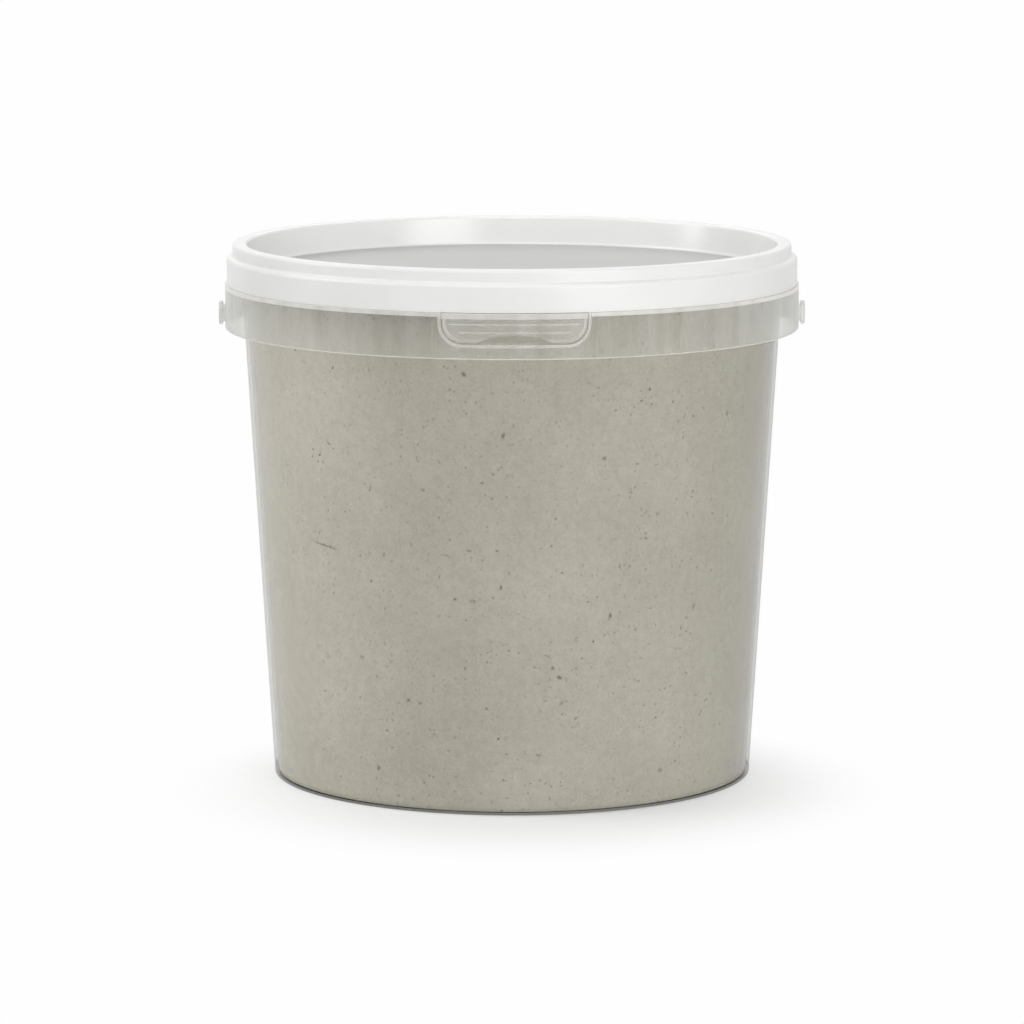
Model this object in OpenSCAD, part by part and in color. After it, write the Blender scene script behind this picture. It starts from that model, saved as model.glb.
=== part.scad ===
/* [Tub wall] */
// Outer radius of the wall at the floor
foot_r = 93.7; // [70:0.1:130]
// Outer radius of the wall under the rim flange
wall_top_r = 105.4; // [75:0.1:150]
// Height of the rim flange's top face above the floor
flange_z = 193; // [120:0.5:320]
// Thickness of the wall
wall_t = 1.3; // [0.8:0.1:3]
// Thickness of the base panel
base_t = 1.3; // [1:0.1:4]
// Height of the foot ring, which lifts the base panel off the floor
foot_h = 0.9; // [0.6:0.1:6]
// Width of the foot ring's flat
foot_w = 5; // [3:0.1:12]
// Radius of the wall's edge at the floor
foot_round = 1.6; // [0.5:0.1:3]
// Radius inside, where wall and base meet
inner_round = 0.8; // [0.5:0.1:6]

/* [Rim] */
// Step from the wall out to the upright neck
neck_step = 1.5; // [0.5:0.1:4]
// Thickness of the neck
neck_t = 1.7; // [1:0.1:3]
// Height of the neck above the flange
neck_h = 14.7; // [12:0.1:24]
// How far the snap bead stands out of the neck
bead_proud = 2.3; // [0.8:0.1:4]
// Height of the snap bead's underside above the flange
bead_rise = 4.4; // [4:0.1:6]
// Height of the snap bead
bead_h = 5; // [3:0.1:7]
// Width of the flange from the neck to the skirt's outer face
flange_w = 5.1; // [4:0.1:10]
// Thickness of the flange
flange_t = 1.4; // [0.8:0.1:3]

/* [Skirt] */
// Thickness of the skirt
skirt_t = 1.2; // [0.8:0.1:2.5]
// Height of the skirt below the tab's frame
strip_h = 4.4; // [2:0.1:12]
// Angle from the front to the first rib on each side
rib_first_deg = 16; // [15.5:0.5:20]
// Angle from one rib to the next
rib_step_deg = 18.5; // [12:0.5:20]
// Thickness of a rib
rib_t = 1.2; // [0.6:0.1:2.5]
// Height of a rib's lower edge above the skirt's
rib_rise = 1; // [0:0.1:4]

/* [Handle studs] */
// Radius of a stud's head
stud_head_r = 4.65; // [4:0.05:8]
// Thickness of a stud's head
stud_head_t = 1.7; // [1:0.1:4]
// Radius of a stud's neck
stud_neck_r = 3.5; // [2:0.1:3.9]
// Length of a stud's neck
stud_neck_l = 0.9; // [0.5:0.1:5]
// Height of a stud's axis above the skirt's lower edge
stud_rise = 5.3; // [4:0.1:9]

/* [Tamper tab] */
// Half of the width over the tab's frame
frame_half_w = 28.6; // [20:0.1:29]
// Radius of the frame's lower corners
frame_corner_r = 9; // [4:0.1:12]
// Width of the bead that frames the tab
frame_w = 1.2; // [0.8:0.1:3]
// How far the frame stands out of the skirt
frame_proud = 0.45; // [0.2:0.05:1]
// Height of the tab
tab_h = 10.7; // [9:0.1:16]
// Gap between the tab and its frame at the sides
slit_w = 0.5; // [0.3:0.05:1]
// Gap between the tab's foot and its frame, which the hinge web spans
hinge_gap = 0.7; // [0.4:0.05:1.5]
// Drop from the flange's top face to the tab's top edge
tab_drop = 0.2; // [0:0.05:1]
// Width of the tab's raised border
border_w = 1.3; // [0.6:0.1:2]
// How far the tab's border and ridges stand out
ridge_proud = 0.4; // [0.2:0.05:0.8]
// Height of the finger lip along the tab's top
lip_h = 1.9; // [1:0.1:3]
// How far the finger lip stands out
lip_proud = 0.8; // [0.4:0.05:2]
// Height of one grip ridge
ridge_h = 0.9; // [0.5:0.1:1.5]
// Drop from the lip's underside to the middle of the upper grip ridge
ridge_drop = 2.1; // [1.2:0.1:3]
// Step from one grip ridge down to the next
ridge_step = 3; // [1.6:0.1:3.5]
// Half length of the upper grip ridge
ridge_half_l = 25; // [14:0.1:25]
// How much shorter each end of the next ridge down is
ridge_cut = 3.6; // [0:0.1:5]
// Half width of the shallow arch cut above the hinge
arch_half_w = 14; // [8:0.1:18]
// Height of that arch
arch_h = 2.8; // [1.5:0.1:4]
// Depth of that arch
arch_d = 0.45; // [0.2:0.05:0.6]
// Half width of the hinge web
web_half_w = 12; // [6:0.1:18]
// Thickness of the hinge web and of the break-off bridges
web_t = 0.5; // [0.3:0.05:0.9]
// Height of one break-off bridge
bridge_h = 1; // [0.5:0.1:1.5]

/* [Lid] */
// Thickness of the lid
lid_t = 1.3; // [0.9:0.1:2]
// Depth of the recess in the lid's top
recess_d = 11.8; // [7:0.1:13]
// How much narrower the recess is at its floor than at its top
recess_taper = 2.3; // [1:0.1:5]
// Height of the lid's lower, wider ring
lid_band_h = 10; // [8:0.1:12]
// Height of the sloped shoulder above that ring
shoulder_h = 2.2; // [1:0.1:4]
// How far the snap hook stands into the lid
hook_proud = 0.5; // [0.2:0.05:1.2]
// Height of the snap hook
hook_h = 2.6; // [1.5:0.1:3]

/* [Filler] */
// Air between the lid's panel and the filler's edge at the wall
headspace = 3.2; // [1:0.1:30]
// Depth of the hollow in the filler's top
dish_d = 5.5; // [1:0.1:15]
// Width of the slope from the filler's edge to the hollow
dish_w = 22; // [8:0.5:50]

/* [Fits] */
// Gap between the lid's lower edge and the flange
lid_gap = 0.2; // [0.1:0.05:0.5]
// Gap between the lid's plug and the neck
plug_gap = 0.35; // [0.3:0.05:0.8]
// Gap between the neck and the lid's upper ring
neck_gap = 0.8; // [0.4:0.05:1.5]
// Gap between the snap bead and the lid's hook
hook_gap = 0.3; // [0.3:0.05:0.6]
// Gap between the filler and the wall
filler_gap = 0.25; // [0.1:0.05:0.5]

/* [Hidden] */

$fn = 160;
arc_steps = 5;
edge_round = 0.5;
ridge_count = 2;
clear_of_part = 5;
plastic = [0.84, 0.84, 0.82, 0.6];
white_plastic = [0.95, 0.95, 0.94];
paste = [0.66, 0.64, 0.59];

flange_under_z = flange_z - flange_t;
base_top_z = foot_h + base_t;
foot_in_r = foot_r - foot_round - foot_w;
neck_r = wall_top_r + neck_step;
neck_in_r = neck_r - neck_t;
neck_top_z = flange_z + neck_h;
bead_z = flange_z + bead_rise;
bead_r = neck_r + bead_proud;
skirt_r = neck_r + flange_w;

tab_top_z = flange_z - tab_drop;
tab_z = tab_top_z - tab_h;
window_z = tab_z - hinge_gap;
frame_z = window_z - frame_w;
skirt_z = frame_z - strip_h;
stud_z = skirt_z + stud_rise;
window_half_w = frame_half_w - frame_w;
tab_half_w = window_half_w - slit_w;
window_corner_r = frame_corner_r - frame_w;
tab_corner_r = window_corner_r - slit_w;
lip_z = tab_top_z - lip_h;
bridge_z = lip_z - bridge_h;
sunk = skirt_t / 3;
arch_r = (arch_half_w ^ 2 + arch_h ^ 2) / (2 * arch_h);
web_r = skirt_r - arch_d;

lid_z = flange_z + lid_gap;
lid_top_z = neck_top_z + lid_t;
lid_in_r = bead_r + hook_gap + hook_proud;
lid_r = lid_in_r + lid_t;
lid_up_in_r = neck_r + neck_gap;
lid_up_r = lid_up_in_r + lid_t;
shoulder_z = lid_z + lid_band_h;
shoulder_round = min(3.6, lid_band_h / 2);
plug_r = neck_in_r - plug_gap;
recess_r = plug_r - lid_t;
panel_z = lid_top_z - recess_d;
panel_under_z = panel_z - lid_t;

fill_z = panel_under_z - headspace;

// Outer radius of the tapered wall at height z
function wall_r(z) = foot_r + (wall_top_r - foot_r) * z / flange_under_z;

function unit(v) = v / norm(v);

// Points of the arc that rounds corner p = [x, y, radius] between its neighbours a and b
function corner_arc(a, p, b) =
    let (
        corner = [p.x, p.y],
        u = unit([a.x, a.y] - corner),
        v = unit([b.x, b.y] - corner),
        half = acos(u * v) / 2,
        centre = corner + unit(u + v) * p[2] / sin(half),
        from = corner + u * p[2] / tan(half) - centre,
        to = corner + v * p[2] / tan(half) - centre,
        start = atan2(from.y, from.x),
        turn = (atan2(to.y, to.x) - start + 540) % 360 - 180
    )
    [for (i = [0:arc_steps])
        let (angle = start + turn * i / arc_steps)
        centre + p[2] * [cos(angle), sin(angle)]];

// Outline through corners [x, y, radius], each rounded to its radius
function rounded(c) =
    let (n = len(c))
    [for (i = [0:n - 1])
        each c[i][2] == 0 ? [[c[i].x, c[i].y]] : corner_arc(c[(i + n - 1) % n], c[i], c[(i + 1) % n])];

module turned(corners) {
    rotate_extrude()
        polygon(rounded(corners));
}

// Upright ring between two radii and two heights
module ring(r_in, r_out, z_low, z_high) {
    translate([0, 0, z_low])
        difference() {
            cylinder(r = r_out, h = z_high - z_low);
            translate([0, 0, -clear_of_part])
                cylinder(r = r_in, h = z_high - z_low + 2 * clear_of_part);
        }
}

// Bar across the front with a U-shaped face, round at its lower corners
module u_bar(half_w, z_low, z_high, corner_r) {
    rotate([90, 0, 0])
        linear_extrude(height = skirt_r + clear_of_part)
            polygon(rounded([
                [-half_w, z_high, 0],
                [-half_w, z_low, corner_r],
                [half_w, z_low, corner_r],
                [half_w, z_high, 0]
            ]));
}

module window_bar() {
    u_bar(window_half_w, window_z, bead_z, window_corner_r);
}

// The part of the frame's bead between two heights, rooted in the skirt's outer face
module frame_bead(z_low, z_high) {
    intersection() {
        ring(skirt_r - sunk, skirt_r + frame_proud, z_low, z_high);
        difference() {
            u_bar(frame_half_w, frame_z, flange_z + clear_of_part, frame_corner_r);
            window_bar();
        }
    }
}

module tub() {
    color(plastic)
        turned([
            [0, foot_h, 0],
            [foot_in_r - foot_h / 2, foot_h, edge_round],
            [foot_in_r, 0, edge_round],
            [foot_r, 0, foot_round],
            [wall_top_r, flange_under_z, 0],
            [wall_top_r - wall_t, flange_under_z, 0],
            [wall_r(base_top_z) - wall_t, base_top_z, inner_round],
            [0, base_top_z, 0]
        ]);
}

module rim() {
    color(plastic)
        union() {
            difference() {
                turned([
                    [wall_top_r - wall_t, flange_under_z, 0],
                    [skirt_r, flange_under_z, 0],
                    [skirt_r, flange_z, edge_round],
                    [neck_r, flange_z, edge_round],
                    [neck_r, bead_z, edge_round],
                    [bead_r, bead_z + bead_h / 5, edge_round],
                    [bead_r, bead_z + bead_h / 2, edge_round],
                    [neck_r, bead_z + bead_h, edge_round],
                    [neck_r, neck_top_z, neck_t / 4],
                    [neck_in_r, neck_top_z, neck_t / 4],
                    [neck_in_r, flange_z + flange_t, edge_round]
                ]);
                difference() {
                    window_bar();
                    cylinder(r = neck_r + edge_round, h = neck_top_z + clear_of_part);
                }
            }
            frame_bead(flange_under_z, flange_z);
        }
}

module skirt() {
    color(plastic)
        union() {
            difference() {
                turned([
                    [skirt_r - skirt_t, flange_under_z, 0],
                    [skirt_r - skirt_t, skirt_z, skirt_t / 3],
                    [skirt_r, skirt_z, skirt_t / 3],
                    [skirt_r, flange_under_z, 0]
                ]);
                window_bar();
            }
            frame_bead(frame_z, flange_under_z);
        }
}

// Webs between wall and skirt, in step from the front round each side to the back
module skirt_ribs() {
    rib_z = skirt_z + rib_rise;
    color(plastic)
        for (side = [-1, 1], angle = [rib_first_deg:rib_step_deg:180 - rib_first_deg])
            intersection() {
                rotate([0, 0, side * angle - 90])
                    translate([wall_top_r / 2, -rib_t / 2, rib_z])
                        cube([skirt_r, rib_t, flange_under_z - rib_z]);
                difference() {
                    cylinder(r = skirt_r - skirt_t, h = flange_under_z);
                    cylinder(r1 = foot_r, r2 = wall_top_r, h = flange_under_z);
                }
            }
}

module handle_studs() {
    color(plastic)
        for (side = [-1, 1])
            difference() {
                translate([0, 0, stud_z])
                    rotate([0, 90 * side, 0])
                        turned([
                            [0, skirt_r - skirt_t, 0],
                            [stud_neck_r, skirt_r - skirt_t, 0],
                            [stud_neck_r, skirt_r + stud_neck_l, 0],
                            [stud_head_r, skirt_r + stud_neck_l, 0],
                            [stud_head_r, skirt_r + stud_neck_l + stud_head_t, edge_round],
                            [0, skirt_r + stud_neck_l + stud_head_t, 0]
                        ]);
                cylinder(r = skirt_r, h = flange_z);
            }
}

module grip_ridge(i) {
    mid_z = lip_z - ridge_drop - i * ridge_step;
    intersection() {
        ring(skirt_r - sunk, skirt_r + ridge_proud, mid_z - ridge_h / 2, mid_z + ridge_h / 2);
        u_bar(ridge_half_l - i * ridge_cut, tab_z, flange_z, 0);
    }
}

// Thins the tab above its hinge, under a flat arch
module arch_cut() {
    difference() {
        translate([0, 0, tab_z + arch_h - arch_r])
            rotate([90, 0, 0])
                cylinder(r = arch_r, h = skirt_r + clear_of_part);
        cylinder(r = web_r, h = flange_z);
    }
}

module tamper_tab() {
    color(plastic)
        difference() {
            intersection() {
                union() {
                    ring(skirt_r - skirt_t, skirt_r, tab_z, tab_top_z);
                    ring(skirt_r - sunk, skirt_r + lip_proud, lip_z, tab_top_z);
                    difference() {
                        ring(skirt_r - sunk, skirt_r + ridge_proud, tab_z, tab_top_z);
                        u_bar(tab_half_w - border_w, tab_z + border_w, flange_z, tab_corner_r - border_w);
                    }
                    for (i = [0:ridge_count - 1])
                        grip_ridge(i);
                }
                u_bar(tab_half_w, tab_z, tab_top_z, tab_corner_r);
            }
            arch_cut();
        }
}

// Thin web that the tab folds on
module tab_hinge() {
    color(plastic)
        intersection() {
            ring(web_r - web_t, web_r, window_z, tab_z);
            u_bar(web_half_w, window_z, tab_z, 0);
        }
}

// Two small ties between the tab and its frame that tear at the first opening
module tab_bridges() {
    color(plastic)
        intersection() {
            ring(skirt_r - web_t, skirt_r, bridge_z, bridge_z + bridge_h);
            difference() {
                u_bar(window_half_w, window_z, flange_z, 0);
                u_bar(tab_half_w, window_z - clear_of_part, flange_z + clear_of_part, 0);
            }
        }
}

module lid() {
    color(white_plastic)
        turned([
            [lid_in_r, lid_z, edge_round],
            [lid_r, lid_z, edge_round],
            [lid_r, shoulder_z, shoulder_round],
            [lid_up_r, shoulder_z + shoulder_h, edge_round],
            [lid_up_r, lid_top_z, lid_t],
            [recess_r, lid_top_z, lid_t],
            [recess_r - recess_taper, panel_z, lid_t],
            [0, panel_z, 0],
            [0, panel_under_z, 0],
            [plug_r - recess_taper, panel_under_z, lid_t],
            [plug_r, neck_top_z, edge_round],
            [lid_up_in_r, neck_top_z, edge_round],
            [lid_up_in_r, shoulder_z + shoulder_h - lid_t / 2, edge_round],
            [lid_in_r, shoulder_z - lid_t / 2, shoulder_round],
            [lid_in_r, lid_z + hook_h, edge_round / 2],
            [lid_in_r - hook_proud, lid_z + hook_h * 2 / 3, edge_round / 2],
            [lid_in_r - hook_proud, lid_z + hook_h / 3, edge_round / 2]
        ]);
}

module filler() {
    edge_r = wall_r(fill_z) - wall_t - filler_gap;
    color(paste)
        turned([
            [0, base_top_z, 0],
            [wall_r(base_top_z) - wall_t - filler_gap, base_top_z, inner_round + filler_gap],
            [edge_r, fill_z, edge_round],
            [edge_r - dish_w / 2, fill_z - dish_d / 2, 0],
            [edge_r - dish_w, fill_z - dish_d, dish_w / 2],
            [0, fill_z - dish_d, 0]
        ]);
}

tub();
rim();
skirt();
skirt_ribs();
handle_studs();
tamper_tab();
tab_hinge();
tab_bridges();
lid();
filler();
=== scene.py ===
import bmesh
import bpy
import numpy as np
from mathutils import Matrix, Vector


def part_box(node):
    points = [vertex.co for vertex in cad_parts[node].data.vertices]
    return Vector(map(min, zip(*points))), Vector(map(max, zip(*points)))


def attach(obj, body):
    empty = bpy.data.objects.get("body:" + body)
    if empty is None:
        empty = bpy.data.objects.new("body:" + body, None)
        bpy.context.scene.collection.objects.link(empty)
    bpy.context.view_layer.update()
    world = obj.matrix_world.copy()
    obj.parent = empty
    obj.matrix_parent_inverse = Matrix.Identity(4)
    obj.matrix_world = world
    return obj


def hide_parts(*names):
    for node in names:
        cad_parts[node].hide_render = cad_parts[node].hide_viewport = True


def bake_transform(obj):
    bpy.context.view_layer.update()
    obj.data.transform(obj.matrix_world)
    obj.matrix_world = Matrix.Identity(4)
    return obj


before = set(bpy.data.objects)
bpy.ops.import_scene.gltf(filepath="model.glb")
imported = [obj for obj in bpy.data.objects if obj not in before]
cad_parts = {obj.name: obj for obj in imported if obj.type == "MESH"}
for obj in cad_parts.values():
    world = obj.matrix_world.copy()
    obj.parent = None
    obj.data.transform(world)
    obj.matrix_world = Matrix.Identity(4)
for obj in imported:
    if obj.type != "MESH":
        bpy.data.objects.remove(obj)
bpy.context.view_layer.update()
scene = bpy.context.scene

mm = 0.001
sharpDegrees = 40  # edges that turn more than this are shaded sharp
mergeDistance = 1e-7


def boxMm(node):
    # Lowest and highest corner of a CAD node, in mm
    low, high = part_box(node)
    return np.array(low) / mm, np.array(high) / mm


# Camera: a long lens at table height, square to the tab

photoCamera = {
    "lens": 185.66,
    "sensor": 36.0,
    "distance": 2.054,  # from the tub's axis, in m
    "height": 0.4127,
    "pitchDown": 8.60,
    "azimuth": -0.5,
}


def addCamera(s):
    data = bpy.data.cameras.new("photoCamera")
    data.lens = s["lens"]
    data.sensor_width = s["sensor"]
    camera = bpy.data.objects.new("photoCamera", data)
    turn = np.radians(s["azimuth"])
    camera.location = (s["distance"] * np.sin(turn), -s["distance"] * np.cos(turn), s["height"])
    camera.rotation_euler = (np.radians(90 - s["pitchDown"]), 0, turn)
    scene.collection.objects.link(camera)
    scene.camera = camera


addCamera(photoCamera)
scene.view_settings.view_transform = "Standard"
scene.cycles.transparent_max_bounces = 32  # a ray meets up to twelve clear surfaces each way
print("camera: lens", photoCamera["lens"], "mm")


# Shape helpers, all in mm

def unit(v):
    return v / np.maximum(np.linalg.norm(v, axis=-1, keepdims=True), 1e-12)


def smooth(t):
    # 0 below 0, 1 above 1, and 3t^2 - 2t^3 between
    t = np.clip(t, 0, 1)
    return t * t * (3 - 2 * t)


def roundedOutline(corners, steps=6):
    # Corner rows are (r, z, radius). The fillet starts radius / tan(half the corner's angle) from the corner,
    # and its points are a slerp round the fillet's centre.
    rows = np.array(corners, float)
    here, radius = rows[:, :2], rows[:, 2:]
    toLast = unit(np.roll(here, 1, 0) - here)
    toNext = unit(np.roll(here, -1, 0) - here)
    half = np.arccos(np.clip(np.sum(toLast * toNext, 1, keepdims=True), -1, 1)) / 2
    centre = here + unit(toLast + toNext) * radius / np.maximum(np.sin(half), 1e-9)
    reach = radius / np.maximum(np.tan(half), 1e-9)
    first = (here + toLast * reach - centre)[:, None]
    last = (here + toNext * reach - centre)[:, None]
    turn = (np.pi - 2 * half)[:, None]
    t = np.linspace(0, 1, steps + 1)[None, :, None]
    arc = (np.sin((1 - t) * turn) * first + np.sin(t * turn) * last) / np.maximum(np.sin(turn), 1e-9)
    points = (centre[:, None] + arc).reshape(-1, 2)
    return points[np.linalg.norm(points - np.roll(points, 1, 0), axis=1) > 1e-5]


def refined(points, spacing, closed=True, edge=0.25):
    # Adds points at even steps, and one close to each end of a long side, which keeps its shading flat
    chain = np.vstack([points, points[:1]]) if closed else points
    gap = np.linalg.norm(np.diff(chain, axis=0), axis=1)
    at = np.concatenate([[0], np.cumsum(gap)])
    isLong = gap > 4 * edge
    held = np.concatenate([at, at[:-1][isLong] + edge, at[1:][isLong] - edge])
    even = np.arange(0, at[-1], spacing)
    even = even[np.abs(even[:, None] - held).min(1) > max(2 * edge, 0.3 * spacing)]
    along = np.sort(np.concatenate([held, even]))
    along = along[:-1] if closed else along
    return np.stack([np.interp(along, at, chain[:, 0]), np.interp(along, at, chain[:, 1])], 1)


def gridFaces(rows, columns, wrapRows=False, wrapColumns=False):
    # Quads of a grid that is stored row by row
    i = np.arange(rows if wrapRows else rows - 1)[:, None]
    j = np.arange(columns if wrapColumns else columns - 1)[None, :]
    nextI, nextJ = (i + 1) % rows, (j + 1) % columns
    corners = [i * columns + j, i * columns + nextJ, nextI * columns + nextJ, nextI * columns + j]
    return np.stack(np.broadcast_arrays(*corners), -1).reshape(-1, 4)


def turned(outline, segments, closed=True):
    # The outline (r, z) carried round the upright axis: x = r sin a, y = -r cos a.
    # An open outline runs from axis to axis, and a fan closes each pole.
    angle = np.linspace(0, 2 * np.pi, segments, endpoint=False)
    rings = outline if closed else outline[1:-1]
    r, z = rings[:, :1], rings[:, 1:]
    verts = np.stack(np.broadcast_arrays(r * np.sin(angle), -r * np.cos(angle), z), -1).reshape(-1, 3)
    faces = [gridFaces(len(rings), segments, closed, True)]
    if not closed:
        count = len(verts)
        first = np.arange(segments)
        last = first + count - segments
        faces.append(np.stack([np.full(segments, count), first, np.roll(first, -1)], 1))
        faces.append(np.stack([np.full(segments, count + 1), last, np.roll(last, -1)], 1))
        verts = np.vstack([verts, [[0, 0, outline[0, 1]], [0, 0, outline[-1, 1]]]])
    return verts, faces


def curvedPlate(x, z, rFront, rBack):
    # A plate bent round the upright axis: two grids of (x, z) at radius rFront and rBack, with
    # y = -sqrt(r^2 - x^2), closed along their edges
    rows, columns = x.shape
    r = np.concatenate([rFront, rBack[:, ::-1]], 1)
    x = np.concatenate([x, x[:, ::-1]], 1)
    z = np.concatenate([z, z[:, ::-1]], 1)
    verts = np.stack([x, -np.sqrt(r * r - x * x), z], -1).reshape(-1, 3)
    j = np.arange(columns - 1)
    cap = np.stack([j, j + 1, 2 * columns - 2 - j, 2 * columns - 1 - j], 1)
    return verts, [gridFaces(rows, 2 * columns, False, True), cap, cap + (rows - 1) * 2 * columns]


def repeated(verts, faces, angles):
    # Copies turned about the upright axis
    c, s = np.cos(angles)[:, None], np.sin(angles)[:, None]
    x, y, z = verts.T
    copies = np.stack(np.broadcast_arrays(c * x - s * y, s * x + c * y, z), -1).reshape(-1, 3)
    shift = np.arange(len(angles))[:, None, None] * len(verts)
    return copies, [(f + shift).reshape(-1, f.shape[1]) for f in faces]


def joined(*parts):
    # Several meshes as one, with the face numbers moved on
    starts = np.cumsum([0] + [len(verts) for verts, faces in parts])
    verts = np.vstack([verts for verts, faces in parts])
    return verts, [f + start for (v, faces), start in zip(parts, starts) for f in faces]


def putPiece(name, shape, material, nodes, body=None):
    verts, faces = shape
    mesh = bpy.data.meshes.new(name)
    mesh.from_pydata((verts * mm).tolist(), [], [f for group in faces for f in group.tolist()])
    bm = bmesh.new()
    bm.from_mesh(mesh)
    bmesh.ops.remove_doubles(bm, verts=bm.verts, dist=mergeDistance)
    bmesh.ops.recalc_face_normals(bm, faces=bm.faces)
    bm.to_mesh(mesh)
    bm.free()
    mesh.polygons.foreach_set("use_smooth", np.ones(len(mesh.polygons), bool))
    mesh.set_sharp_from_angle(angle=np.radians(sharpDegrees))
    mesh.materials.append(material)
    piece = bpy.data.objects.new(name, mesh)
    scene.collection.objects.link(piece)
    if body:
        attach(piece, body)
    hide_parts(*nodes)
    print("piece:", name, len(mesh.vertices), "vertices")
    return piece


def setAttribute(piece, name, values):
    # A number at each vertex for the material to read; values takes the vertices in mm
    co = np.zeros(len(piece.data.vertices) * 3, np.float32)
    piece.data.vertices.foreach_get("co", co)
    attribute = piece.data.attributes.new(name, "FLOAT", "POINT")
    attribute.data.foreach_set("value", values(co.reshape(-1, 3) / mm).astype(np.float32))


# Material helpers

def linear(hexColour):
    # sRGB hex to linear: c / 12.92 near black, ((c + 0.055) / 1.055) ^ 2.4 above
    c = np.array([int(hexColour[i:i + 2], 16) for i in (1, 3, 5)]) / 255
    return (*np.where(c <= 0.04045, c / 12.92, ((c + 0.055) / 1.055) ** 2.4), 1.0)


def perMetre(sizeMm):
    # Texture scale for a feature of this size
    return 1000 / sizeMm


def addNode(tree, kind, inputs=None, **settings):
    node = tree.nodes.new(kind)
    for key, value in settings.items():
        setattr(node, key, value)
    for key, value in (inputs or {}).items():
        if isinstance(value, bpy.types.NodeSocket):
            tree.links.new(value, node.inputs[key])
        else:
            node.inputs[key].default_value = value
    return node


def startMaterial(name):
    material = bpy.data.materials.new(name)
    material.use_nodes = True
    tree = material.node_tree
    tree.nodes.clear()
    shader = addNode(tree, "ShaderNodeBsdfPrincipled")
    output = addNode(tree, "ShaderNodeOutputMaterial", {"Surface": shader.outputs["BSDF"]})
    return material, tree, shader, output


# Natural polypropylene, injection moulded: unpigmented, so it is see-through with a milky haze that thickens
# where the eye looks along the wall. Thick edges, beads and ribs scatter more and read paler. Light from the
# lamps is scattered on and not stopped, so what stands behind stays lit.

wetWall = {  # with the paste wetting its back it is nearly clear
    "colour": "#c0c0bd",
    # painted shade: this dark colour is used only on the foot, for the shade under the base
    "milkAndPaintedShadeColour": "#6f6f68",
    "ior": 1.49,
    "roughness": 0.3,
    "haze": 0.015,  # share of the view that one surface hides, seen square on
    "edgeHaze": 0.95,  # what is added at a grazing view
    "edgePower": 5.0,
    "streakMm": 9.0,
    "streakLengthMm": 200.0,
    "streakDepth": 0.5,
}
dryWall = {  # with air on both sides it is milkier
    "colour": "#cacac5",
    "milkAndPaintedShadeColour": "#e6e4dd",
    "ior": 1.49,
    "roughness": 0.3,
    "haze": 0.12,
    "edgeHaze": 0.88,
    "edgePower": 2.2,
    "streakMm": 7.0,
    "streakLengthMm": 160.0,
    "streakDepth": 0.6,
}


def naturalPolypropylene(name, s):
    material, tree, shader, output = startMaterial(name)
    place = addNode(tree, "ShaderNodeTexCoord").outputs["Object"]
    upright = addNode(tree, "ShaderNodeMapping", {
        "Vector": place, "Scale": (1, 1, s["streakMm"] / s["streakLengthMm"])})
    streaks = addNode(tree, "ShaderNodeTexNoise", {
        "Vector": upright.outputs["Vector"], "Scale": perMetre(s["streakMm"]), "Detail": 1.0})
    haze = addNode(tree, "ShaderNodeMapRange", {
        "Value": streaks.outputs["Fac"], "From Min": 0.3, "From Max": 0.7,
        "To Min": s["haze"] * (1 - s["streakDepth"]), "To Max": s["haze"] * (1 + s["streakDepth"])})
    facing = addNode(tree, "ShaderNodeLayerWeight", {"Blend": 0.5}).outputs["Facing"]
    grazing = addNode(tree, "ShaderNodeMath", {0: facing, 1: s["edgePower"]}, operation="POWER")
    plain = addNode(tree, "ShaderNodeMath", {0: grazing.outputs[0], 1: s["edgeHaze"], 2: haze.outputs[0]},
                    operation="MULTIPLY_ADD")
    milkAndPaintedShade = addNode(tree, "ShaderNodeAttribute", attribute_name="milkAndPaintedShade").outputs["Fac"]
    clear = addNode(tree, "ShaderNodeAttribute", attribute_name="clear").outputs["Fac"]
    kept = addNode(tree, "ShaderNodeMath", {0: 1.0, 1: clear}, operation="SUBTRACT")
    alpha = addNode(tree, "ShaderNodeMath", {0: plain.outputs[0], 1: kept.outputs[0], 2: milkAndPaintedShade},
                    operation="MULTIPLY_ADD", use_clamp=True)
    colour = addNode(tree, "ShaderNodeMix", {
        "Factor": milkAndPaintedShade, "A": linear(s["colour"]), "B": linear(s["milkAndPaintedShadeColour"])}, data_type="RGBA")
    tree.links.new(colour.outputs[2], shader.inputs["Base Color"])
    tree.links.new(alpha.outputs[0], shader.inputs["Alpha"])
    shader.inputs["Roughness"].default_value = s["roughness"]
    shader.inputs["IOR"].default_value = s["ior"]
    lampRay = addNode(tree, "ShaderNodeLightPath").outputs["Is Shadow Ray"]
    through = addNode(tree, "ShaderNodeBsdfTransparent")
    both = addNode(tree, "ShaderNodeMixShader", {
        0: lampRay, 1: shader.outputs["BSDF"], 2: through.outputs["BSDF"]})
    tree.links.new(both.outputs["Shader"], output.inputs["Surface"])
    return material


# White polypropylene, injection moulded: pigmented and satin. Its thin panel lets some light through to the
# grey filler; the panel's grey colour is painted shade for that filler seen through it, and the recess wall
# is painted paler than the ring with its doubled walls, painted light for what comes through the lid.

whitePlastic = {
    "ring": "#e4e4e3",
    # painted light on the recess wall, paler than the ring, and painted shade on the grey panel
    "recess": "#efefee",
    "panel": "#b8b8b7",
    "panelR": 101.1,
    "wallR": 102.5,
    "recessR": 103.7,
    "ringR": 104.8,
    "ior": 1.49,
    "specular": 0.5,
    "panelRoughness": 0.6,  # the recess wall is polished, the ring less so and the panel matt
    "recessRoughness": 0.24,
    "ringRoughness": 0.36,
    "flowMm": 30.0,
    "flowDepth": 0.02,
    "grainMm": 0.8,
    "grainHighMm": 0.04,
}


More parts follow.
